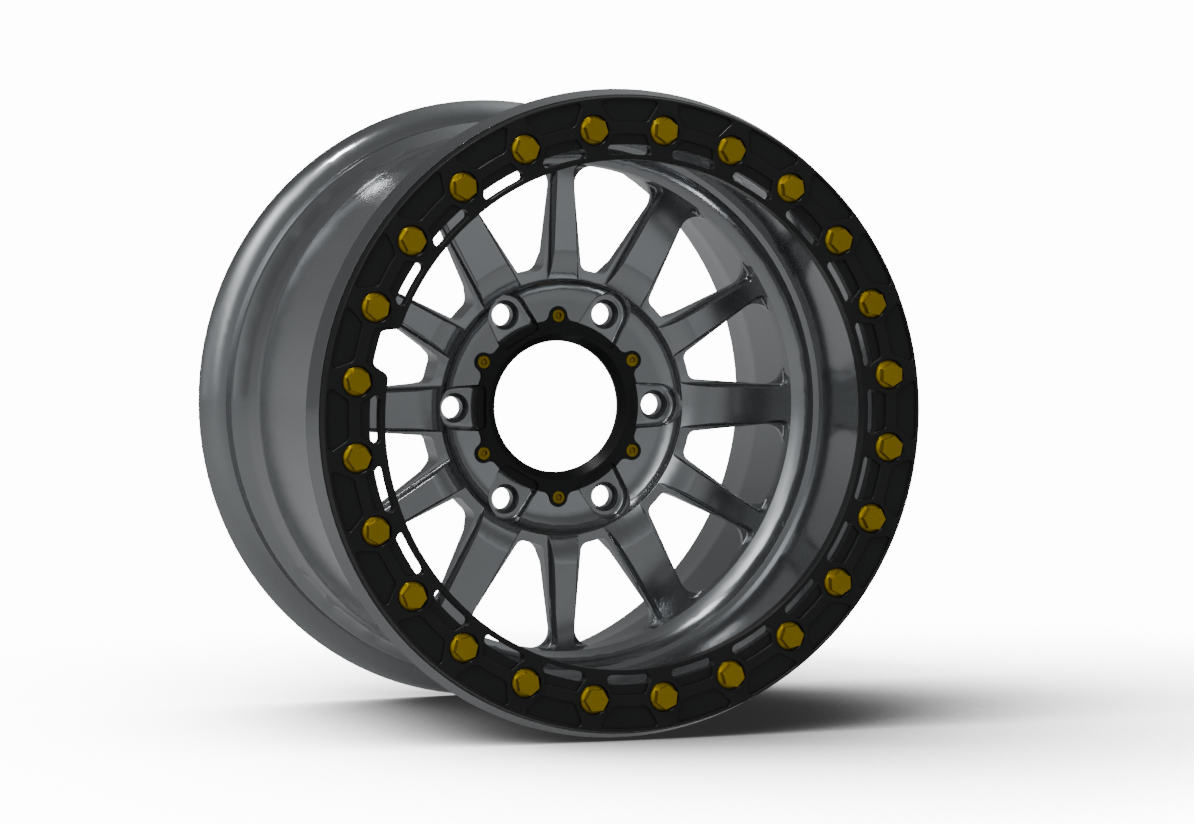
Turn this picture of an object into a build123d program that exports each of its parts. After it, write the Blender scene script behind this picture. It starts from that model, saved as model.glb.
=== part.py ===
from build123d import *
import os
from math import cos, hypot, radians, sin, tan

# Beadlock wheel: a one-piece forged body with twelve spokes, a clamping ring held by
# twenty-four flange bolts, and a small trim ring held by six cap screws.
# Millimetres. The axle is the Y axis, the outboard side faces -Y and Z is up.
# The origin is on the axis, in the face that bolts to the hub. Depths are y values.

# Rim. The flange sets the other radii, so the wheel keeps its build in another size.
flange_r = 205.6
flange_high = 15.6
bead_seat_r = flange_r - flange_high
seat_high = 9.8
well_r = bead_seat_r - seat_high
wall = 5.1
dish_r = well_r - wall
inner_well_y = -88.0
outer_well_y = 60.0
slope_end_y = 88.1
slope_rise = 4.0
bead_fall = 0.8
hump_rise = 0.3
hump_half = 3.2
hump_from_flange = 14.6
ramp_run = 8.1
rear_bead_y = 114.0
rear_flange_depth = 15.6
rear_sweep_rise = 9.6
rear_sweep_run = 4.2
flange_round = 3.0
rear_mouth_flare = 7.8
rear_mouth_r = dish_r + rear_mouth_flare
rear_mouth_y = 119.7
rear_hollow_run = 8.0
rear_hollow_r = rear_mouth_r + rear_hollow_run
rear_hollow_y = 122.1

# Front shoulder that the clamping ring sits in, with the circle of its bolts
ring_seat_y = -143.7
rebate_depth = 2.7
rebate_wall = 4.0
rebate_r = flange_r - rebate_wall
bolts = 24
bolt_circle_inset = 21.4
bolt_circle_r = rebate_r - bolt_circle_inset
bolt_first_angle = 7.5
shoulder_thick = 14.2
shoulder_edge = 2.9
shoulder_edge_draw = 0.6
shoulder_lip_width = 8.0
shoulder_lip_r = bolt_circle_r - shoulder_lip_width
shoulder_lip_depth = 13.0
shoulder_chamfer = 2.9
bead_corner = 3.0

# Dish and ledge behind it
dish_end_y = -46.1
strip_width = 3.6
strip_r = dish_r - strip_width
strip_rise = 1.2
ledge_width = 11.3
ledge_r = strip_r - ledge_width
ledge_hollow = 0.9

# Centre web and its spokes
spoke_pairs = 6
web_face_y = -33.9
web_depth = 6.7
floor_y = web_face_y + web_depth
curl_r = 103.6
wide_half_hub = 12.6
wide_half_rim = 10.7
narrow_half_hub = 8.5
narrow_half_rim = 5.7
taper_from_r = 91.0
taper_end_gap = 0.2
taper_to_r = ledge_r - taper_end_gap
gap_draft = 12.0
gap_floor_radius = 1.8
gap_corner = 4.4
spoke_edge_break = 0.4
spoke_edge_angle = 45.0
window_inset_hub = 3.4
window_inset_rim = 0.0
window_reach = 45.0
window_inner_r = 91.2
window_rim_land = 0.9
window_outer_r = ledge_r - window_rim_land
window_hub_corner = 5.5
window_rim_corner = 12.0
hub_back_edge = 3.0
web_back_hub_y = -5.0
web_back_knee_r = 103.0
web_back_knee_y = -16.7
web_back_rim_run = 18.2
web_back_mid_r = ledge_r - web_back_rim_run
web_back_mid_y = -20.8
web_back_rim_y = -23.9
back_corner = 14.0

# Hub
lug_circle_r = 69.85
bore_r = 54.0
bore_lead = 1.5
pad_r = 84.0
groove_width = 1.1
groove_depth = 1.3
bowl_floor_y = -19.5
bowl_floor_r = 69.4
bowl_fall = 0.9
back_pocket_rim_wall = 2.0
back_pocket_far_r = pad_r - back_pocket_rim_wall
back_pocket_inset = 2.85
back_pocket_near_r = lug_circle_r - back_pocket_inset
back_pocket_far_angle = 14.0
back_pocket_near_angle = 11.0
back_pocket_corner = 5.0
back_pocket_depth = 6.0

# Lug holes and the pockets round them
lugs = 6
lug_hole_r = 7.15
lug_seat_r = 9.8
lug_seat_angle = 60.0
lug_floor_y = -12.56
lug_pocket_r = 14.2
lug_pocket_flare = 3.3
lug_pocket_draft = 2.0
lug_pocket_fillet = 3.0

# Trim ring round the centre bore
trim_overhang = 2.8
trim_r = bore_r + trim_overhang
trim_bore_r = 43.2
trim_thick = 7.7
trim_mouth_flare = 5.0
trim_mouth_r = trim_bore_r + trim_mouth_flare
trim_mouth_depth = 4.4
trim_lobe_r = 6.1
trim_blend = 5.0
trim_gap = 0.25
recess_half = 14.4
recess_bite = 6.4
recess_inner_r = trim_r - recess_bite
recess_depth = 2.4
recess_corner = 3.4

# Cap screws of the trim ring
trim_screws = 6
trim_screw_outset = 3.1
trim_screw_circle_r = trim_r + trim_screw_outset
screw_head_r = 4.2
screw_head_high = 4.6
screw_shank_r = 2.5
screw_length = 12.0
screw_key = 4.0
screw_key_depth = 2.4
head_gap = 0.2
hole_gap = 0.25
tip_gap = 1.5
thread_gap = 0.05
tip_chamfer = 0.8

# Clamping ring, placed from the rebate that centres it
ring_fit_gap = 0.3
ring_outer_r = rebate_r - ring_fit_gap
ring_edge_draw = 1.55
ring_front_r = ring_outer_r - ring_edge_draw
ring_bore_inset = 19.5
ring_inner_r = bolt_circle_r - ring_bore_inset
ring_thick = 8.7
ring_edge_depth = 6.0
outer_pocket_wall = 1.55
outer_pocket_far_r = ring_front_r - outer_pocket_wall
outer_pocket_long = 14.2
outer_pocket_near_r = outer_pocket_far_r - outer_pocket_long
outer_pocket_far_angle = 6.0
outer_pocket_near_angle = 3.65
outer_pocket_corner = 2.3
outer_pocket_root = 5.0
inner_pocket_inset = 3.6
inner_pocket_far_r = bolt_circle_r - inner_pocket_inset
inner_pocket_long = 11.6
inner_pocket_near_r = inner_pocket_far_r - inner_pocket_long
inner_pocket_far_angle = 3.6
inner_pocket_near_angle = 5.2
inner_pocket_corner = 2.3
pocket_depth = 2.2
slot_outset = 1.95
slot_r = inner_pocket_near_r + slot_outset
slot_width = 6.3
slot_half_angle = 4.0
notch_angle = 165.0
notch_long = 10.5
notch_r = ring_inner_r + notch_long
notch_top_angle = 3.6
notch_mouth_angle = 6.6
notch_corner = 3.5
notch_mouth_corner = 5.0
ring_edge_break = 0.35

# Flange bolts of the clamping ring
bolt_shank_r = 4.0
bolt_length = 20.0
bolt_flange_r = 8.95
bolt_flange_edge = 1.2
bolt_hex = 13.0
bolt_head_high = 8.0
bolt_cone_high = 2.4
bolt_crown_r = 7.0
bolt_crown_angle = 30.0
bolt_twist_step = 23.0
spot_face_gap = 0.7
spot_face_r = bolt_flange_r + spot_face_gap
spot_face_depth = 2.7
bolt_hole_gap = 0.45

# Valve hole, through the barrel wall behind the notch
valve_hole_r = 5.75
valve_y = -106.0
valve_tilt = 15.0
valve_face_r = 9.5
valve_face_sink = 0.5
valve_reach = 30.0

# The turning axis, so that angles count anticlockwise as seen from the outboard side
axle = Axis((0, 0, 0), (0, -1, 0))
pitch = 360.0 / spoke_pairs
half_pitch = pitch / 2
bolt_pitch = 360.0 / bolts
trim_front_y = lug_floor_y - trim_thick
screw_seat_y = trim_front_y + screw_head_high
screw_tip_y = screw_seat_y + screw_length
ring_front_y = ring_seat_y - ring_thick
bolt_seat_y = ring_front_y + spot_face_depth
bolt_tip_y = bolt_seat_y + bolt_length
bolt_top_y = bolt_seat_y - bolt_head_high


def front_plane(y):
    """The plane across the axle at y, seen from the outboard side."""
    return Plane.XZ.offset(-y)


def polar(r, angle):
    """A point in that plane, from its radius and its angle in degrees."""
    return (r * cos(radians(angle)), r * sin(radians(angle)))


def turned(piece, angles):
    """Copies of a piece at the given angles round the axle."""
    return [piece.rotate(axle, angle) for angle in angles]


def tapered(r, hub_value, rim_value):
    """Half a spoke's width at radius r, or any other value that tapers along the spoke."""
    share = (r - taper_from_r) / (taper_to_r - taper_from_r)
    return hub_value + share * (rim_value - hub_value)


def gap_outline(side, hub_inset, rim_inset, inner_r, outer_r):
    """Sketch of the gap between a wide spoke on the x axis and the narrow one to one side."""
    near = inner_r * 0.8
    far = outer_r * 1.2
    wide = []
    for r in (near, far):
        inset = tapered(r, hub_inset, rim_inset)
        wide.append((r, tapered(r, wide_half_hub, wide_half_rim) + inset))
    narrow = []
    for r in (far, near):
        inset = tapered(r, hub_inset, rim_inset)
        across = -tapered(r, narrow_half_hub, narrow_half_rim) - inset
        turn = radians(half_pitch)
        narrow.append((r * cos(turn) - across * sin(turn), r * sin(turn) + across * cos(turn)))
    corners = [(x, side * y) for x, y in wide + narrow]
    with BuildSketch() as outline:
        with BuildLine():
            Polyline(*corners, close=True)
        make_face()
        Circle(outer_r, mode=Mode.INTERSECT)
        Circle(inner_r, mode=Mode.SUBTRACT)
    return outline


def gap_cutter(side):
    """Drafted pocket between two spokes, down to the web's floor, with rounded corners."""
    wall_run = web_depth * tan(radians(gap_draft))
    outline = gap_outline(side, wall_run, wall_run, pad_r, ledge_r - wall_run)
    with BuildPart() as cutter:
        with BuildSketch(front_plane(floor_y)) as floor:
            add(outline.sketch)
            rim_corners = floor.vertices().sort_by_distance((0, 0, 0))[-2:]
            fillet(rim_corners, gap_corner)
        extrude(amount=2 * web_depth, taper=-gap_draft)
        fillet(cutter.faces().sort_by(Axis.Y)[-1].edges(), gap_floor_radius)
        edge_run = spoke_edge_break * tan(radians(gap_draft))
        edge_outline = gap_outline(side, edge_run, edge_run, pad_r, ledge_r - spoke_edge_break)
        with BuildSketch(front_plane(web_face_y + spoke_edge_break)) as edge:
            add(edge_outline.sketch)
            fillet(edge.vertices().sort_by_distance((0, 0, 0))[-2:], gap_corner + wall_run)
        extrude(amount=2 * spoke_edge_break, taper=-spoke_edge_angle)
    return cutter.part


def window_sketch(side):
    """Through window inside that pocket, with its own wider corners."""
    wall_run = web_depth * tan(radians(gap_draft))
    hub_inset = wall_run + window_inset_hub
    rim_inset = wall_run + window_inset_rim
    outline = gap_outline(side, hub_inset, rim_inset, window_inner_r, window_outer_r)
    with BuildSketch() as window:
        add(outline.sketch)
        ordered = window.vertices().sort_by_distance((0, 0, 0))
        fillet(ordered[-2:], window_rim_corner)
        ordered = window.vertices().sort_by_distance((0, 0, 0))
        fillet(ordered[:2], window_hub_corner)
    return window.sketch


def trim_outline(grow):
    """Outline of the trim ring, a circle with a lobe round each screw, grown by a gap."""
    with BuildSketch() as outline:
        Circle(trim_r + grow)
        with PolarLocations(trim_screw_circle_r, trim_screws, start_angle=half_pitch):
            Circle(trim_lobe_r + grow)
        fillet(outline.vertices(), trim_blend)
    return outline.sketch


def lug_cutter():
    """Everything cut at one lug: the open U pocket, the cone seat and the stud hole."""
    flare = radians(lug_pocket_flare)
    touch_x = lug_circle_r + lug_pocket_r * sin(flare)
    touch_y = lug_pocket_r * cos(flare)
    open_x = bore_r - 2 * lug_pocket_fillet
    open_y = touch_y + (touch_x - open_x) * tan(flare)
    seat_depth = (lug_seat_r - lug_hole_r) / tan(radians(lug_seat_angle / 2))
    with BuildPart() as cutter:
        with BuildSketch(front_plane(lug_floor_y)):
            with BuildLine():
                Line((touch_x, touch_y), (open_x, open_y))
                Line((open_x, open_y), (open_x, -open_y))
                Line((open_x, -open_y), (touch_x, -touch_y))
                ThreePointArc(
                    (touch_x, -touch_y), (lug_circle_r + lug_pocket_r, 0), (touch_x, touch_y)
                )
            make_face()
        extrude(amount=-web_face_y, taper=-lug_pocket_draft)
        fillet(cutter.faces().sort_by(Axis.Y)[-1].edges(), lug_pocket_fillet)
        with BuildSketch(Plane.XY):
            with BuildLine():
                Polyline(
                    (lug_circle_r, lug_floor_y),
                    (lug_circle_r + lug_seat_r, lug_floor_y),
                    (lug_circle_r + lug_hole_r, lug_floor_y + seat_depth),
                    (lug_circle_r + lug_hole_r, bore_lead),
                    (lug_circle_r, bore_lead),
                    close=True,
                )
            make_face()
        revolve(axis=Axis((lug_circle_r, 0, 0), (0, 1, 0)))
    return cutter.part


def valve_cutter():
    """Tilted valve hole through the barrel wall, with a flat for the nut inside the dish."""
    outward = (cos(radians(valve_tilt)), sin(radians(valve_tilt)), 0)
    flat_sunk = valve_face_r * sin(radians(valve_tilt)) + valve_face_sink
    wall_plane = Plane((well_r - wall, valve_y, 0), z_dir=outward)
    with BuildPart() as cutter:
        with BuildSketch(wall_plane):
            Circle(valve_hole_r)
        extrude(amount=valve_reach / 2, both=True)
        with BuildSketch(wall_plane.offset(flat_sunk)):
            Circle(valve_face_r)
        extrude(amount=-valve_reach / 2)
    return cutter.part


def sector_sketch(far_r, near_r, far_angle, near_angle, far_corner, near_corner):
    """Rounded outline between two arcs about the axle, centred on the x axis."""
    with BuildSketch() as outline:
        with BuildLine():
            ThreePointArc(polar(far_r, -far_angle), (far_r, 0), polar(far_r, far_angle))
            Line(polar(far_r, far_angle), polar(near_r, near_angle))
            ThreePointArc(polar(near_r, near_angle), (near_r, 0), polar(near_r, -near_angle))
            Line(polar(near_r, -near_angle), polar(far_r, -far_angle))
        make_face()
        fillet(outline.vertices().sort_by_distance((0, 0, 0))[-2:], far_corner)
        fillet(outline.vertices().sort_by_distance((0, 0, 0))[:2], near_corner)
    return outline.sketch


def on_ring_bore(edge):
    """True for an edge that lies in the inner wall of the clamping ring."""
    middle = edge.center()
    return abs(hypot(middle.X, middle.Z) - ring_inner_r) < 0.01


def slot_sketch():
    """Slot along an arc about the axle, with full-round ends, centred on the x axis."""
    half = slot_width / 2
    far_r = slot_r + half
    near_r = slot_r - half
    end_x, end_y = polar(slot_r, slot_half_angle)
    tip_x = end_x - half * sin(radians(slot_half_angle))
    tip_y = end_y + half * cos(radians(slot_half_angle))
    far_end = polar(far_r, slot_half_angle)
    near_end = polar(near_r, slot_half_angle)
    with BuildSketch() as outline:
        with BuildLine():
            ThreePointArc((far_end[0], -far_end[1]), (far_r, 0), far_end)
            ThreePointArc(far_end, (tip_x, tip_y), near_end)
            ThreePointArc(near_end, (near_r, 0), (near_end[0], -near_end[1]))
            ThreePointArc((near_end[0], -near_end[1]), (tip_x, -tip_y), (far_end[0], -far_end[1]))
        make_face()
    return outline.sketch


# Wheel body: the whole section, from the shoulder round the rim to the hub, turned once
flange_back_y = ring_seat_y + shoulder_thick
front_hump_y = flange_back_y + hump_from_flange
rear_hump_y = rear_bead_y - hump_from_flange
shoulder_front_y = ring_seat_y - rebate_depth
shoulder_edge_y = flange_back_y - shoulder_edge
lip_end_y = ring_seat_y + shoulder_lip_depth
rear_end_y = rear_bead_y + rear_flange_depth
foot_r = bead_seat_r - bead_fall
crown_r = bead_seat_r + hump_rise
slope_r = well_r + slope_rise
ledge_mid_r = (strip_r + ledge_r) / 2 + ledge_hollow
ledge_mid_y = (dish_end_y + strip_rise + web_face_y) / 2 + ledge_hollow
bowl_r = pad_r - groove_width / 2
groove_outer_r = pad_r + groove_width / 2

with BuildPart() as wheel:
    with BuildSketch(Plane.XY):
        with BuildLine():
            # Shoulder and front flange
            Polyline(
                (shoulder_lip_r, ring_seat_y),
                (rebate_r, ring_seat_y),
                (rebate_r, shoulder_front_y),
                (flange_r, shoulder_edge_y),
                (flange_r - shoulder_edge_draw, flange_back_y),
                (bead_seat_r + bead_corner, flange_back_y),
            )
            TangentArc(
                (bead_seat_r + bead_corner, flange_back_y),
                (bead_seat_r, flange_back_y + bead_corner),
                tangent=(-1, 0),
            )
            # Front bead seat, hump and ramp, the well, then the same at the rear
            Line((bead_seat_r, flange_back_y + bead_corner), (foot_r, front_hump_y - hump_half))
            ThreePointArc(
                (foot_r, front_hump_y - hump_half),
                (crown_r, front_hump_y),
                (foot_r, front_hump_y + hump_half),
            )
            Polyline(
                (foot_r, front_hump_y + hump_half),
                (slope_r, front_hump_y + hump_half + ramp_run),
                (well_r, inner_well_y),
                (well_r, outer_well_y),
                (slope_r, slope_end_y),
                (foot_r, rear_hump_y - hump_half),
            )
            ThreePointArc(
                (foot_r, rear_hump_y - hump_half),
                (crown_r, rear_hump_y),
                (foot_r, rear_hump_y + hump_half),
            )
            # Rear bead seat and swept flange
            Line((foot_r, rear_hump_y + hump_half), (bead_seat_r, rear_bead_y))
            ThreePointArc(
                (bead_seat_r, rear_bead_y),
                (bead_seat_r + rear_sweep_rise, rear_bead_y + rear_sweep_run),
                (flange_r, rear_end_y - flange_round),
            )
            TangentArc(
                (flange_r, rear_end_y - flange_round),
                (flange_r - flange_round, rear_end_y),
                tangent=(0, 1),
            )
            # Inside of the barrel, from the rear flange forward to the web
            ThreePointArc(
                (flange_r - flange_round, rear_end_y),
                (rear_hollow_r, rear_hollow_y),
                (rear_mouth_r, rear_mouth_y),
            )
            Polyline(
                (rear_mouth_r, rear_mouth_y),
                (dish_r + slope_rise, slope_end_y),
                (dish_r, outer_well_y),
                (dish_r, web_back_rim_y + back_corner),
            )
            TangentArc(
                (dish_r, web_back_rim_y + back_corner),
                (dish_r - back_corner, web_back_rim_y),
                tangent=(0, -1),
            )
            # Back of the web, the hub face and the centre bore
            Polyline(
                (dish_r - back_corner, web_back_rim_y),
                (web_back_mid_r, web_back_mid_y),
                (web_back_knee_r, web_back_knee_y),
                (window_inner_r, web_back_hub_y),
                (window_inner_r - hub_back_edge, 0),
                (bore_r + bore_lead, 0),
                (bore_r, -bore_lead),
                (bore_r, bowl_floor_y + bowl_fall),
                (bowl_floor_r, bowl_floor_y),
            )
            # Rising edge of the hub's bowl and the thin groove round it
            TangentArc((bowl_floor_r, bowl_floor_y), (bowl_r, floor_y), tangent=(1, 0))
            Line((bowl_r, floor_y), (pad_r, floor_y + groove_depth))
            Line((pad_r, floor_y + groove_depth), (groove_outer_r, floor_y))
            # Spoke face, ledge and dish
            TangentArc((curl_r, web_face_y), (groove_outer_r, floor_y), tangent=(-1, 0))
            Line((curl_r, web_face_y), (ledge_r, web_face_y))
            ThreePointArc(
                (ledge_r, web_face_y),
                (ledge_mid_r, ledge_mid_y),
                (strip_r, dish_end_y + strip_rise),
            )
            Polyline(
                (strip_r, dish_end_y + strip_rise),
                (dish_r, dish_end_y),
                (dish_r, lip_end_y + shoulder_chamfer),
                (shoulder_lip_r, lip_end_y),
                (shoulder_lip_r, ring_seat_y),
            )
        make_face()
    revolve(axis=Axis.Y)

    # Pockets between the spokes, then the windows through their floors
    repeats = [pitch * count for count in range(spoke_pairs)]
    for side in (1, -1):
        add(turned(gap_cutter(side), repeats), mode=Mode.SUBTRACT)
    with BuildSketch(front_plane(0)):
        for side in (1, -1):
            with PolarLocations(0, spoke_pairs):
                add(window_sketch(side))
    extrude(amount=window_reach, both=True, mode=Mode.SUBTRACT)

    # Lug pockets, their cone seats and the holes for the studs
    lug_angles = [360.0 / lugs * count for count in range(lugs)]
    add(turned(lug_cutter(), lug_angles), mode=Mode.SUBTRACT)

    # Shallow pockets between the lugs in the face that bolts to the hub
    back_pocket = sector_sketch(
        back_pocket_far_r,
        back_pocket_near_r,
        back_pocket_far_angle,
        back_pocket_near_angle,
        back_pocket_corner,
        back_pocket_corner,
    )
    with BuildSketch(front_plane(0)):
        with PolarLocations(0, lugs, start_angle=half_pitch):
            add(back_pocket)
    extrude(amount=back_pocket_depth, mode=Mode.SUBTRACT)

    # Seat of the trim ring and the tapped holes of its screws
    with BuildSketch(front_plane(lug_floor_y)):
        add(trim_outline(trim_gap))
    extrude(amount=2 * trim_thick, mode=Mode.SUBTRACT)
    with BuildSketch(front_plane(lug_floor_y)):
        with PolarLocations(trim_screw_circle_r, trim_screws, start_angle=half_pitch):
            Circle(screw_shank_r + thread_gap)
    extrude(amount=-(screw_tip_y - lug_floor_y + tip_gap), mode=Mode.SUBTRACT)

    # Tapped holes of the clamping ring
    with BuildSketch(front_plane(ring_seat_y)):
        with PolarLocations(bolt_circle_r, bolts, start_angle=bolt_first_angle):
            Circle(bolt_shank_r + thread_gap)
    extrude(amount=-(bolt_tip_y - ring_seat_y + tip_gap), mode=Mode.SUBTRACT)

    # Valve hole with a flat for its nut on the inside of the barrel
    add(turned(valve_cutter(), [notch_angle]), mode=Mode.SUBTRACT)

wheel.part.label = "wheel"

# Clamping ring: a turned plate with pockets, slots and spot faces in every sector
sectors = [bolt_pitch * count for count in range(bolts)]
plain_sectors = [angle for angle in sectors if angle != notch_angle]

with BuildPart() as beadlock_ring:
    with BuildSketch(Plane.XY):
        with BuildLine():
            Polyline(
                (ring_inner_r, ring_seat_y),
                (ring_outer_r, ring_seat_y),
                (ring_outer_r, ring_front_y + ring_edge_depth),
                (ring_front_r, ring_front_y),
                (ring_inner_r, ring_front_y),
                close=True,
            )
        make_face()
    revolve(axis=Axis.Y)

    # Shallow pockets, outside and inside the bolt circle
    outer_pocket = sector_sketch(
        outer_pocket_far_r,
        outer_pocket_near_r,
        outer_pocket_far_angle,
        outer_pocket_near_angle,
        outer_pocket_corner,
        outer_pocket_root,
    )
    inner_pocket = sector_sketch(
        inner_pocket_far_r,
        inner_pocket_near_r,
        inner_pocket_far_angle,
        inner_pocket_near_angle,
        inner_pocket_corner,
        inner_pocket_corner,
    )
    with BuildSketch(front_plane(ring_front_y)):
        with PolarLocations(0, bolts):
            add(outer_pocket)
            add(inner_pocket)
    extrude(amount=-pocket_depth, mode=Mode.SUBTRACT)

    # Through slots along the inner pockets, and the notch for the valve in place of one
    notch = sector_sketch(
        notch_r,
        ring_inner_r - 2 * notch_corner,
        notch_top_angle,
        notch_mouth_angle,
        notch_corner,
        notch_corner / 2,
    )
    with BuildSketch(front_plane(ring_front_y)):
        add([slot_sketch().rotate(Axis.Z, angle) for angle in plain_sectors])
        add(notch.rotate(Axis.Z, notch_angle))
    extrude(amount=-ring_thick, mode=Mode.SUBTRACT)
    notch_x, notch_z = polar(ring_inner_r, notch_angle)
    mouth = beadlock_ring.edges().filter_by(Axis.Y).filter_by(on_ring_bore)
    fillet(mouth.sort_by_distance((notch_x, ring_seat_y, notch_z))[:2], notch_mouth_corner)

    # Spot faces and clearance holes of the bolts
    with BuildSketch(front_plane(ring_front_y)):
        with PolarLocations(bolt_circle_r, bolts, start_angle=bolt_first_angle):
            Circle(spot_face_r)
    extrude(amount=-spot_face_depth, mode=Mode.SUBTRACT)
    with BuildSketch(front_plane(ring_front_y)):
        with PolarLocations(bolt_circle_r, bolts, start_angle=bolt_first_angle):
            Circle(bolt_shank_r + bolt_hole_gap)
    extrude(amount=-ring_thick, mode=Mode.SUBTRACT)

    # Every edge of the front face is broken, as a machined plate's is
    front_face = beadlock_ring.faces().filter_by(Axis.Y).sort_by(Axis.Y)[0]
    chamfer(front_face.edges(), ring_edge_break)

beadlock_ring.part.label = "beadlock_ring"

# Trim ring: a lobed plate with a coned mouth, stepped down in front of each lug hole
with BuildPart() as centre_ring:
    with BuildSketch(front_plane(lug_floor_y)):
        add(trim_outline(0))
        Circle(trim_bore_r, mode=Mode.SUBTRACT)
    extrude(amount=trim_thick)
    with BuildSketch(Plane.XY):
        with BuildLine():
            Polyline(
                (0, trim_front_y),
                (trim_mouth_r, trim_front_y),
                (trim_bore_r, trim_front_y + trim_mouth_depth),
                (0, trim_front_y + trim_mouth_depth),
                close=True,
            )
        make_face()
    revolve(axis=Axis.Y, mode=Mode.SUBTRACT)
    with BuildSketch(front_plane(trim_front_y)):
        with PolarLocations(recess_inner_r + recess_half, lugs):
            RectangleRounded(2 * recess_half, 2 * recess_half, recess_corner)
    extrude(amount=-recess_depth, mode=Mode.SUBTRACT)
    with BuildSketch(front_plane(trim_front_y)):
        with PolarLocations(trim_screw_circle_r, trim_screws, start_angle=half_pitch):
            Circle(screw_head_r + head_gap)
    extrude(amount=-screw_head_high, mode=Mode.SUBTRACT)
    with BuildSketch(front_plane(trim_front_y)):
        with PolarLocations(trim_screw_circle_r, trim_screws, start_angle=half_pitch):
            Circle(screw_shank_r + hole_gap)
    extrude(amount=-trim_thick, mode=Mode.SUBTRACT)

centre_ring.part.label = "centre_ring"

# One flange bolt on the axle line: a crowned hexagon on a coned flange, and the shank
with BuildPart() as bolt:
    with BuildSketch(front_plane(bolt_seat_y - bolt_flange_edge)):
        RegularPolygon(bolt_hex / 2, 6, major_radius=False)
    extrude(amount=bolt_head_high - bolt_flange_edge)
    with BuildSketch(Plane.XY):
        with BuildLine():
            crown_fall = (bolt_flange_r - bolt_crown_r) * tan(radians(bolt_crown_angle))
            Polyline(
                (0, bolt_seat_y),
                (bolt_flange_r, bolt_seat_y),
                (bolt_flange_r, bolt_top_y + crown_fall),
                (bolt_crown_r, bolt_top_y),
                (0, bolt_top_y),
                close=True,
            )
        make_face()
    revolve(axis=Axis.Y, mode=Mode.INTERSECT)
    with BuildSketch(Plane.XY):
        with BuildLine():
            Polyline(
                (0, bolt_tip_y),
                (bolt_shank_r - tip_chamfer, bolt_tip_y),
                (bolt_shank_r, bolt_tip_y - tip_chamfer),
                (bolt_shank_r, bolt_seat_y),
                (bolt_flange_r, bolt_seat_y),
                (bolt_flange_r, bolt_seat_y - bolt_flange_edge),
                (bolt_hex / 2, bolt_seat_y - bolt_cone_high),
                (0, bolt_seat_y - bolt_cone_high),
                close=True,
            )
        make_face()
    revolve(axis=Axis.Y)

# One cap screw on the axle line, with its hexagon socket
with BuildPart() as screw:
    with BuildSketch(Plane.XY):
        with BuildLine():
            Polyline(
                (0, screw_tip_y),
                (screw_shank_r - tip_chamfer / 2, screw_tip_y),
                (screw_shank_r, screw_tip_y - tip_chamfer / 2),
                (screw_shank_r, screw_seat_y),
                (screw_head_r, screw_seat_y),
                (screw_head_r, trim_front_y),
                (0, trim_front_y),
                close=True,
            )
        make_face()
    revolve(axis=Axis.Y)
    with BuildSketch(front_plane(trim_front_y)):
        RegularPolygon(screw_key / 2, 6, major_radius=False)
    extrude(amount=-screw_key_depth, mode=Mode.SUBTRACT)

os.makedirs("parts", exist_ok=True)
export_step(wheel.part, "parts/wheel.step")
export_step(beadlock_ring.part, "parts/beadlock_ring.step")
export_step(centre_ring.part, "parts/centre_ring.step")

for count in range(bolts):
    x, z = polar(bolt_circle_r, bolt_first_angle + bolt_pitch * count)
    ring_bolt = bolt.part.rotate(axle, bolt_twist_step * count).moved(Location((x, 0, z)))
    ring_bolt.label = f"ring_bolt_{count + 1:02d}"
    export_step(ring_bolt, f"parts/{ring_bolt.label}.step")

for count in range(trim_screws):
    x, z = polar(trim_screw_circle_r, half_pitch + pitch * count)
    centre_screw = screw.part.rotate(axle, bolt_twist_step * count).moved(Location((x, 0, z)))
    centre_screw.label = f"centre_screw_{count + 1}"
    export_step(centre_screw, f"parts/{centre_screw.label}.step")
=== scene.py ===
from math import cos, pi, radians, sin, tan

import bmesh
import bpy
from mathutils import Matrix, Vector


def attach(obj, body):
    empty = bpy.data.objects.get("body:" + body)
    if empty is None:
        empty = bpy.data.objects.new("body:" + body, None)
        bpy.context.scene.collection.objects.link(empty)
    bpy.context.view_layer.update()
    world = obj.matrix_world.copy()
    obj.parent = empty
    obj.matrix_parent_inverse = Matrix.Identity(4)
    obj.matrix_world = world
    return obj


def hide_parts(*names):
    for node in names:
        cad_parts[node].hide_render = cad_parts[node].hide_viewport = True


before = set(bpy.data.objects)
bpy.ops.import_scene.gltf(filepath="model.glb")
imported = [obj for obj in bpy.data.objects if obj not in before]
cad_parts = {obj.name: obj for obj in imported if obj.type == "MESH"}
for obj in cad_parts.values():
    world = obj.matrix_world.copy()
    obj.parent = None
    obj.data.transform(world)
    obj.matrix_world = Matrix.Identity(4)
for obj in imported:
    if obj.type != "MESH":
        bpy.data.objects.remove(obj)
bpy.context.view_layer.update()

# Beadlock wheel in a white studio. Metres; the axle is the Y axis, the outboard side faces -Y.
# The origin is on the axle, in the face that bolts to the hub.

MM = 0.001
BODY = "root"


# Meshes

JOIN_GAP = 0.002 * MM
SLIVER = 0.001 * MM
FLAT_WEIGHT = 90
HEXAGON_SIDE = radians(60)


def link(name, mesh):
    """Puts a mesh in the scene as an object at the origin."""
    piece = bpy.data.objects.new(name, mesh)
    bpy.context.scene.collection.objects.link(piece)
    return piece


def mesh_from(form, name):
    """Turns a bmesh into a named mesh and frees it."""
    mesh = bpy.data.meshes.new(name)
    form.to_mesh(mesh)
    form.free()
    return mesh


def shade(mesh, crease):
    """Smooth shading with sharp edges wherever two faces meet at more than the crease angle."""
    mesh.shade_smooth()
    mesh.set_sharp_from_angle(angle=radians(crease))


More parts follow.
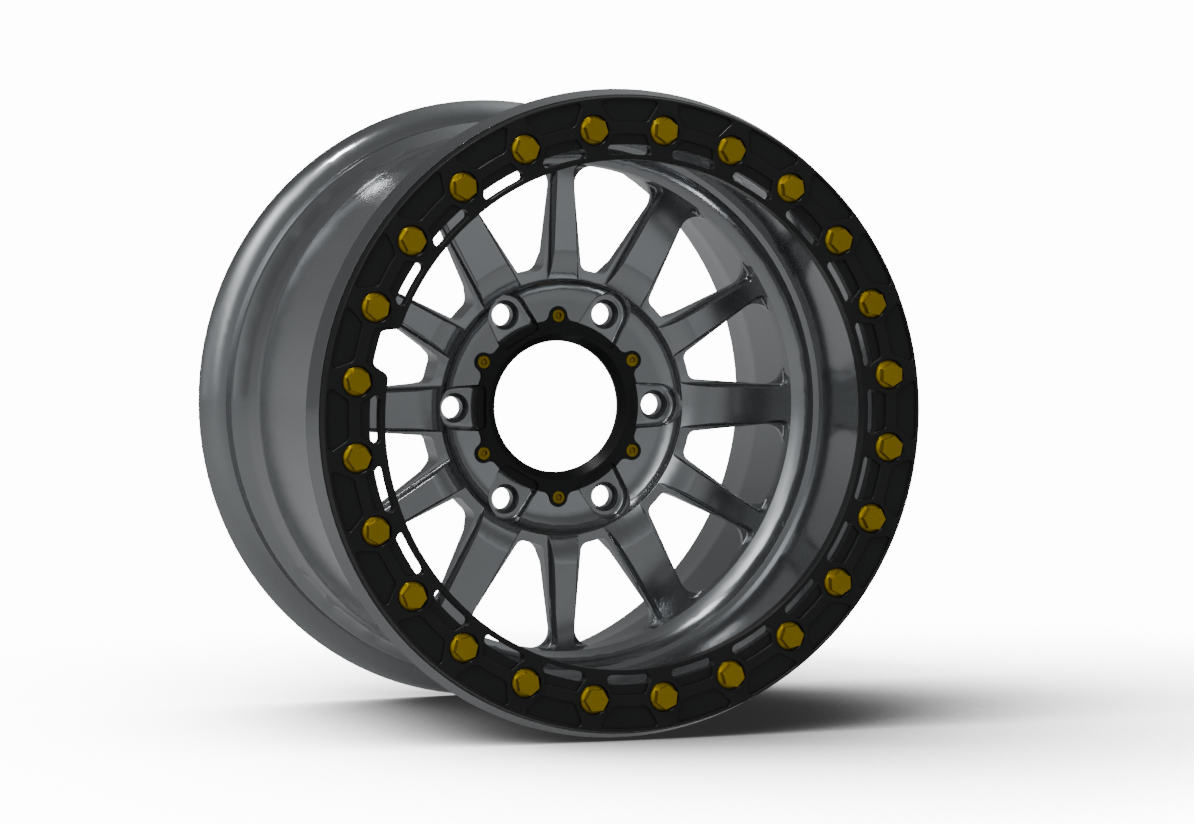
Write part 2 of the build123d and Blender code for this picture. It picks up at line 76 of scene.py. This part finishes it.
def evaluated_mesh(holder):
    """The object's mesh with its modifiers run."""
    graph = bpy.context.evaluated_depsgraph_get()
    return bpy.data.meshes.new_from_object(holder.evaluated_get(graph))


def merged_copy(node, crease):
    """The CAD node's mesh with its loose triangles joined, so that it can be shaded smooth."""
    form = bmesh.new()
    form.from_mesh(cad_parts[node].data)
    bmesh.ops.remove_doubles(form, verts=form.verts, dist=JOIN_GAP)
    bmesh.ops.dissolve_degenerate(form, edges=form.edges, dist=SLIVER)
    mesh = mesh_from(form, node)
    stored = mesh.attributes.get("custom_normal")
    if stored:
        mesh.attributes.remove(stored)
    shade(mesh, crease)
    return mesh


def flat_faced(mesh):
    """The mesh with normals weighted by area, so that its large flats shade evenly to their edges."""
    holder = link("weighing", mesh)
    weigh = holder.modifiers.new("weigh", "WEIGHTED_NORMAL")
    weigh.mode = "FACE_AREA"
    weigh.weight = FLAT_WEIGHT
    weigh.keep_sharp = True
    result = evaluated_mesh(holder)
    bpy.data.objects.remove(holder)
    return result


def hex_reach(angle, across):
    """Distance from the middle of a hexagon to its side, at an angle from one flat's middle."""
    off = (angle + HEXAGON_SIDE / 2) % HEXAGON_SIDE - HEXAGON_SIDE / 2
    return across / 2 / cos(off)


def lathe_rows(rows, steps, name):
    """Closed shell from rows of (radius, height), each a function of the angle, closed by poles."""
    form = bmesh.new()
    first = form.verts.new((0, rows[0](0)[1], 0))
    last = form.verts.new((0, rows[-1](0)[1], 0))
    rings = []
    for row in rows:
        ring = []
        for step in range(steps):
            angle = 2 * pi * step / steps
            reach, height = row(angle)
            ring.append(form.verts.new((reach * cos(angle), height, reach * sin(angle))))
        rings.append(ring)
    for near, far in zip(rings, rings[1:]):
        for step in range(steps):
            after = (step + 1) % steps
            form.faces.new((near[step], near[after], far[after], far[step]))
    for step in range(steps):
        after = (step + 1) % steps
        form.faces.new((first, rings[0][after], rings[0][step]))
        form.faces.new((last, rings[-1][step], rings[-1][after]))
    bmesh.ops.recalc_face_normals(form, faces=form.faces)
    return mesh_from(form, name)


def round_row(reach, height):
    """Row of a round section, from its radius and height in millimetres."""
    return lambda angle: (reach * MM, height * MM)


def hex_row(across, height):
    """Row of a hexagon, from its size across flats and its height in millimetres."""
    return lambda angle: (hex_reach(angle, across) * MM, height * MM)


# Node trees

def math_node(tree, operation, *sources):
    """Adds a math node that works on sockets or plain numbers, and gives its output."""
    node = tree.nodes.new("ShaderNodeMath")
    node.operation = operation
    for socket, source in zip(node.inputs, sources):
        if isinstance(source, (int, float)):
            socket.default_value = source
        else:
            tree.links.new(source, socket)
    return node.outputs[0]


def circle_tree(name):
    """Tree that sets a fastener at even steps on a circle about the axle, each turned on its own axis."""
    tree = bpy.data.node_groups.new(name, "GeometryNodeTree")
    for label, kind in (
        ("Fastener", "Geometry"),
        ("Count", "Int"),
        ("Circle Radius", "Float"),
        ("First Angle", "Float"),
        ("Twist", "Float"),
        ("Twist Spread", "Float"),
        ("Seed", "Int"),
        ("Finish", "Material"),
    ):
        tree.interface.new_socket(label, in_out="INPUT", socket_type="NodeSocket" + kind)
    tree.interface.new_socket("Fasteners", in_out="OUTPUT", socket_type="NodeSocketGeometry")
    nodes = tree.nodes
    links = tree.links

    def math(operation, *sources):
        return math_node(tree, operation, *sources)

    start = nodes.new("NodeGroupInput").outputs
    index = nodes.new("GeometryNodeInputIndex").outputs[0]
    step = math("DIVIDE", 2 * pi, start["Count"])
    angle = math("ADD", start["First Angle"], math("MULTIPLY", index, step))
    place = nodes.new("ShaderNodeCombineXYZ")
    links.new(math("MULTIPLY", start["Circle Radius"], math("COSINE", angle)), place.inputs["X"])
    links.new(math("MULTIPLY", start["Circle Radius"], math("SINE", angle)), place.inputs["Z"])
    points = nodes.new("GeometryNodePoints")
    links.new(start["Count"], points.inputs["Count"])
    links.new(place.outputs[0], points.inputs["Position"])
    chance = nodes.new("FunctionNodeRandomValue")
    chance.data_type = "FLOAT"
    chance.inputs[2].default_value = -1
    chance.inputs[3].default_value = 1
    links.new(start["Seed"], chance.inputs["Seed"])
    spread = math("MULTIPLY", chance.outputs[1], start["Twist Spread"])
    turn = math("ADD", math("MULTIPLY", start["Twist"], index), spread)
    twist = nodes.new("ShaderNodeCombineXYZ")
    links.new(math("MULTIPLY", turn, -1), twist.inputs["Y"])
    copies = nodes.new("GeometryNodeInstanceOnPoints")
    links.new(points.outputs[0], copies.inputs["Points"])
    links.new(start["Fastener"], copies.inputs["Instance"])
    links.new(twist.outputs[0], copies.inputs["Rotation"])
    real = nodes.new("GeometryNodeRealizeInstances")
    links.new(copies.outputs[0], real.inputs[0])
    coat = nodes.new("GeometryNodeSetMaterial")
    links.new(real.outputs[0], coat.inputs["Geometry"])
    links.new(start["Finish"], coat.inputs["Material"])
    end = nodes.new("NodeGroupOutput")
    links.new(coat.outputs[0], end.inputs[0])
    return tree


def baked(name, mesh, tree, sizes, crease):
    """Runs a tree on a mesh once and keeps the result as a plain mesh object."""
    maker = link(name + "_maker", mesh)
    modifier = maker.modifiers.new(name, "NODES")
    modifier.node_group = tree
    for socket in tree.interface.items_tree:
        if socket.in_out == "INPUT" and socket.name in sizes:
            modifier[socket.identifier] = sizes[socket.name]
    result = evaluated_mesh(maker)
    result.name = name
    maker.modifiers.remove(modifier)
    bpy.data.objects.remove(maker)
    shade(result, crease)
    return link(name, result)


# Materials

MOTTLE_SCALE = 18
GRAIN_SCALE = 2600
GRAIN_DEPTH = 0.05 * MM
GLOSS_SPREAD = 0.03
EDGE_SAMPLES = 4


def finish(name, tone, metallic, rough, grain, edge, mottle=0.12, specular=0.5):
    """Metal finish: a fine blasted grain, a slow mottle in tone and gloss, and rounded edges."""
    material = bpy.data.materials.new(name)
    material.use_nodes = True
    nodes = material.node_tree.nodes
    links = material.node_tree.links
    shader = nodes["Principled BSDF"]
    shader.inputs["Metallic"].default_value = metallic
    shader.inputs["Specular IOR Level"].default_value = specular
    place = nodes.new("ShaderNodeTexCoord")

    slow = nodes.new("ShaderNodeTexNoise")
    slow.inputs["Scale"].default_value = MOTTLE_SCALE
    slow.inputs["Detail"].default_value = 3
    links.new(place.outputs["Object"], slow.inputs["Vector"])
    fine = nodes.new("ShaderNodeTexNoise")
    fine.inputs["Scale"].default_value = GRAIN_SCALE
    fine.inputs["Detail"].default_value = 2
    links.new(place.outputs["Object"], fine.inputs["Vector"])

    colour = nodes.new("ShaderNodeMix")
    colour.data_type = "RGBA"
    colour.inputs["A"].default_value = (*[part * (1 - mottle) for part in tone], 1)
    colour.inputs["B"].default_value = (*[part * (1 + mottle) for part in tone], 1)
    links.new(slow.outputs["Fac"], colour.inputs["Factor"])
    links.new(colour.outputs["Result"], shader.inputs["Base Color"])

    gloss = nodes.new("ShaderNodeMapRange")
    gloss.inputs["To Min"].default_value = rough - GLOSS_SPREAD
    gloss.inputs["To Max"].default_value = rough + GLOSS_SPREAD
    links.new(slow.outputs["Fac"], gloss.inputs["Value"])
    links.new(gloss.outputs["Result"], shader.inputs["Roughness"])

    corner = nodes.new("ShaderNodeBevel")
    corner.samples = EDGE_SAMPLES
    corner.inputs["Radius"].default_value = edge * MM
    bump = nodes.new("ShaderNodeBump")
    bump.inputs["Strength"].default_value = grain
    bump.inputs["Distance"].default_value = GRAIN_DEPTH
    links.new(fine.outputs["Fac"], bump.inputs["Height"])
    links.new(corner.outputs[0], bump.inputs["Normal"])
    links.new(bump.outputs[0], shader.inputs["Normal"])
    return material


GUNMETAL = finish(
    "gunmetal_anodised", (0.26, 0.268, 0.275),
    metallic=0.9, rough=0.15, grain=0.008, edge=0.2, mottle=0.04,
)
BLACK = finish(
    "black_anodised", (0.0125, 0.0125, 0.0128),
    metallic=0.0, rough=0.32, grain=0.10, edge=0.15, mottle=0.10, specular=0.16,
)
GOLD = finish(
    "dark_gold_zinc", (0.29, 0.195, 0.0),
    metallic=0.7, rough=0.34, grain=0.14, edge=0.15, mottle=0.25, specular=0.1,
)


# Wheel body and its two rings, kept to the CAD forms

RIM_CREASE = 24

for node, name, slot, material in (
    ("wheel", "wheel_body", "wheel_metal", GUNMETAL),
    ("beadlock_ring", "clamping_ring", "black_anodised", BLACK),
    ("centre_ring", "trim_ring", "black_anodised", BLACK),
):
    piece = link(name, flat_faced(merged_copy(node, RIM_CREASE)))
    piece.data.materials.clear()
    piece.data.materials.append(material)
    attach(piece, BODY)
    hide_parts(node)


# Fasteners, in millimetres. Each is turned further than its neighbour, as a wrench leaves them.

FASTENER_CREASE = 30
FASTENER_TWIST = 23
BOLT_STEPS = 72
SCREW_STEPS = 48

# Flange bolts of the clamping ring
RING_SEAT = -143.7
RING_THICK = 8.7
SPOT_FACE = 2.7
BOLTS = 24
BOLT_CIRCLE_R = 180.2
BOLT_SEAT = RING_SEAT - RING_THICK + SPOT_FACE
BOLT_HIGH = 8.0
BOLT_LONG = 20.0
BOLT_SHANK_R = 4.0
BOLT_POINT = 0.8
BOLT_HEX = 13.0
BOLT_CROWN_R = 7.0
BOLT_CROWN_SLOPE = tan(radians(30))
BOLT_TOP_INSET = 0.5
BOLT_MIDDLE_R = 3.0
BOLT_TOP = BOLT_SEAT - BOLT_HIGH
FLANGE_R = 8.95
FLANGE_EDGE = 0.2
FLANGE_RIM = 1.2
FLANGE_HIGH = 2.3


def bolt_shoulder(angle):
    """Where the hexagon's side meets its 30 degree crown chamfer."""
    reach = hex_reach(angle, BOLT_HEX)
    return (reach * MM, (BOLT_TOP + max(0, reach - BOLT_CROWN_R) * BOLT_CROWN_SLOPE) * MM)


bolt_rows = [
    round_row(BOLT_SHANK_R - BOLT_POINT, BOLT_SEAT + BOLT_LONG),
    round_row(BOLT_SHANK_R, BOLT_SEAT + BOLT_LONG - BOLT_POINT),
    round_row(BOLT_SHANK_R, BOLT_SEAT),
    round_row(FLANGE_R - FLANGE_EDGE, BOLT_SEAT),
    round_row(FLANGE_R, BOLT_SEAT - FLANGE_EDGE),
    round_row(FLANGE_R, BOLT_SEAT - FLANGE_RIM + FLANGE_EDGE),
    round_row(FLANGE_R - FLANGE_EDGE, BOLT_SEAT - FLANGE_RIM),
    hex_row(BOLT_HEX, BOLT_SEAT - FLANGE_HIGH),
    bolt_shoulder,
    hex_row(BOLT_HEX - BOLT_TOP_INSET, BOLT_TOP),
    round_row(BOLT_MIDDLE_R, BOLT_TOP),
]
bolt = lathe_rows(bolt_rows, BOLT_STEPS, "flange_bolt")
ring_bolts = baked("ring_bolts", bolt, circle_tree("bolt_circle"), {
    "Count": BOLTS,
    "Circle Radius": BOLT_CIRCLE_R * MM,
    "First Angle": pi / BOLTS,
    "Twist": radians(FASTENER_TWIST),
    "Twist Spread": 0.0,
    "Seed": 3,
    "Finish": GOLD,
}, FASTENER_CREASE)
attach(ring_bolts, BODY)
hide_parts(*[f"ring_bolt_{count + 1:02d}" for count in range(24)])

# Cap screws of the trim ring
SCREWS = 6
SCREW_CIRCLE_R = 59.9
TRIM_FRONT = -20.26
SCREW_HIGH = 4.6
SCREW_SEAT = TRIM_FRONT + SCREW_HIGH
SCREW_LONG = 12.0
SCREW_SHANK_R = 2.5
SCREW_POINT = 0.4
SCREW_HEAD_R = 4.2
HEAD_EDGE = 0.45
HEAD_EDGE_MIDDLE_IN = 0.15
HEAD_EDGE_MIDDLE_BACK = 0.12
SOCKET_HEX = 4.0
SOCKET_MOUTH = 0.3
SOCKET_MOUTH_DEEP = 0.2
SOCKET_DEEP = 3.4
SOCKET_MIDDLE_R = 0.6
SOCKET_CONE = 0.6

screw_rows = [
    round_row(SCREW_SHANK_R - SCREW_POINT, SCREW_SEAT + SCREW_LONG),
    round_row(SCREW_SHANK_R, SCREW_SEAT + SCREW_LONG - SCREW_POINT),
    round_row(SCREW_SHANK_R, SCREW_SEAT),
    round_row(SCREW_HEAD_R, SCREW_SEAT),
    round_row(SCREW_HEAD_R, TRIM_FRONT + HEAD_EDGE),
    round_row(SCREW_HEAD_R - HEAD_EDGE_MIDDLE_IN, TRIM_FRONT + HEAD_EDGE_MIDDLE_BACK),
    round_row(SCREW_HEAD_R - HEAD_EDGE, TRIM_FRONT),
    hex_row(SOCKET_HEX + SOCKET_MOUTH, TRIM_FRONT),
    hex_row(SOCKET_HEX, TRIM_FRONT + SOCKET_MOUTH_DEEP),
    hex_row(SOCKET_HEX, TRIM_FRONT + SOCKET_DEEP),
    round_row(SOCKET_MIDDLE_R, TRIM_FRONT + SOCKET_DEEP + SOCKET_CONE),
]
screw = lathe_rows(screw_rows, SCREW_STEPS, "cap_screw")
trim_screws = baked("trim_screws", screw, circle_tree("screw_circle"), {
    "Count": SCREWS,
    "Circle Radius": SCREW_CIRCLE_R * MM,
    "First Angle": pi / SCREWS,
    "Twist": radians(FASTENER_TWIST),
    "Twist Spread": 0.0,
    "Seed": 5,
    "Finish": GOLD,
}, FASTENER_CREASE)
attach(trim_screws, BODY)
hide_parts(*[f"centre_screw_{count + 1}" for count in range(6)])


# Studio

FLOOR_Z = -205.6 * MM
FLOOR_HALF = 9
PAPER_WHITE = 14
PAPER_GREY = (0.5, 0.5, 0.5, 1)
PAPER_ROUGH = 0.7
BACKDROP_TONE = (1, 1, 1, 1)
ROOM_TONE = (0.97, 0.99, 1, 1)
# Painted shadow on the floor's glow: its reach, depth, least glow, lean and samples.
SHADOW_REACH = 0.6
SHADOW_DEPTH = 6.5
SHADOW_FILL = 0.03
SHADOW_LEAN = (-0.62, 0.0, 0.78)
SHADOW_SAMPLES = 32

floor_mesh = bpy.data.meshes.new("studio_floor")
corners = [(-1, -1), (1, -1), (1, 1), (-1, 1)]
floor_mesh.from_pydata([(x * FLOOR_HALF, y * FLOOR_HALF, FLOOR_Z) for x, y in corners], [], [(0, 1, 2, 3)])
floor = link("studio_floor", floor_mesh)


def seen_by_camera(tree, straight, other, output):
    """Sends one shader to the camera's own rays and another to all the rest."""
    path = tree.nodes.new("ShaderNodeLightPath")
    either = tree.nodes.new("ShaderNodeMixShader")
    tree.links.new(path.outputs["Is Camera Ray"], either.inputs[0])
    tree.links.new(other.outputs[0], either.inputs[1])
    tree.links.new(straight.outputs[0], either.inputs[2])
    tree.links.new(either.outputs[0], tree.nodes[output].inputs["Surface"])


def paper_with_painted_shadow():
    """Backdrop paper: glowing white, with a painted shadow where its glow is dimmed as the wheel closes
    off the sky above it.
    """
    paper = bpy.data.materials.new("paper_with_painted_shadow")
    paper.use_nodes = True
    tree = paper.node_tree
    nodes = tree.nodes
    plain = nodes["Principled BSDF"]
    plain.inputs["Base Color"].default_value = PAPER_GREY
    plain.inputs["Roughness"].default_value = PAPER_ROUGH
    leaning = nodes.new("ShaderNodeCombineXYZ")
    for axis, share in zip("XYZ", SHADOW_LEAN):
        leaning.inputs[axis].default_value = share
    sky = nodes.new("ShaderNodeAmbientOcclusion")
    sky.samples = SHADOW_SAMPLES
    sky.inputs["Distance"].default_value = SHADOW_REACH
    tree.links.new(leaning.outputs[0], sky.inputs["Normal"])
    # Painted shadow: the occlusion under the wheel, raised to a power, dims the paper's glow; the lamps
    # cast no shadow on it.
    painted_shadow_factor = math_node(tree, "POWER", sky.outputs["AO"], SHADOW_DEPTH)
    glow = nodes.new("ShaderNodeEmission")
    tree.links.new(
        math_node(tree, "MULTIPLY_ADD", painted_shadow_factor, PAPER_WHITE, SHADOW_FILL),
        glow.inputs["Strength"],
    )
    seen_by_camera(tree, glow, plain, "Material Output")
    return paper


floor.data.materials.append(paper_with_painted_shadow())
floor.visible_shadow = False


def heading(around, above):
    """Direction from the hub, by its angles from the front and from level, in degrees."""
    level = cos(radians(above))
    return Vector((sin(radians(around)) * level, -cos(radians(around)) * level, sin(radians(above))))


def studio_walls(even, glows):
    """World of an even soft light with broad glows, white where the camera looks straight at it."""
    world = bpy.data.worlds.new("studio")
    world.use_nodes = True
    tree = world.node_tree
    backdrop = tree.nodes["Background"]
    backdrop.inputs["Color"].default_value = BACKDROP_TONE
    backdrop.inputs["Strength"].default_value = PAPER_WHITE
    room = tree.nodes.new("ShaderNodeBackground")
    room.inputs["Color"].default_value = ROOM_TONE
    place = tree.nodes.new("ShaderNodeTexCoord")
    total = even
    for around, above, spread, strength in glows:
        near = tree.nodes.new("ShaderNodeVectorMath")
        near.operation = "DOT_PRODUCT"
        near.inputs[1].default_value = heading(around, above)
        tree.links.new(place.outputs["Generated"], near.inputs[0])
        sharp = 1 / (1 - cos(radians(spread)))
        off = math_node(tree, "SUBTRACT", near.outputs["Value"], 1)
        fall = math_node(tree, "EXPONENT", math_node(tree, "MULTIPLY", off, sharp))
        total = math_node(tree, "ADD", total, math_node(tree, "MULTIPLY", fall, strength))
    tree.links.new(total, room.inputs["Strength"])
    seen_by_camera(tree, backdrop, room, "World Output")
    bpy.context.scene.world = world


# Each glow: angle around from the front, angle above level, spread in degrees, strength
studio_walls(0.13, (
    (0, 0, 26, 0.26),
    (24, -5, 15, 0.52),
    (-40, 0, 24, 0.40),
    (-60, 36, 28, 0.75),
    (-53, 42, 14, 4.5),
    (-43, 18, 11, 1.3),
    (-92, 0, 26, 0.50),
    (-160, -6, 20, 0.25),
    (177, -30, 30, 0.14),
    (100, 38, 32, 1.9),
))

HUB_FRONT = Vector((0, -0.08, 0))


def softbox(name, around, above, away, across, power):
    """Square lamp that faces the hub and shines through the rim, by its angles and distance."""
    place = heading(around, above) * away
    light = bpy.data.lights.new(name, "AREA")
    light.shape = "SQUARE"
    light.size = across
    light.energy = power
    light.use_shadow = False
    holder = bpy.data.objects.new(name, light)
    bpy.context.scene.collection.objects.link(holder)
    holder.location = place
    holder.rotation_mode = "QUATERNION"
    holder.rotation_quaternion = (HUB_FRONT - place).to_track_quat("-Z", "Y")


softbox("ledge_light", -50, 66, 2.2, 0.25, 16)

# Camera at the photograph's angle, with a long lens
CAMERA_PLACE = (-0.9258, -2.6040, 0.1212)
CAMERA_LINE = Vector((0.34557891, 0.93729121, -0.04539167))

camera = bpy.data.cameras.new("camera")
camera.sensor_width = 36
camera.lens = 125.8
camera.clip_start = 0.05
camera.clip_end = 60
viewer = bpy.data.objects.new("camera", camera)
bpy.context.scene.collection.objects.link(viewer)
viewer.location = CAMERA_PLACE
viewer.rotation_mode = "QUATERNION"
viewer.rotation_quaternion = CAMERA_LINE.to_track_quat("-Z", "Y")
bpy.context.scene.camera = viewer
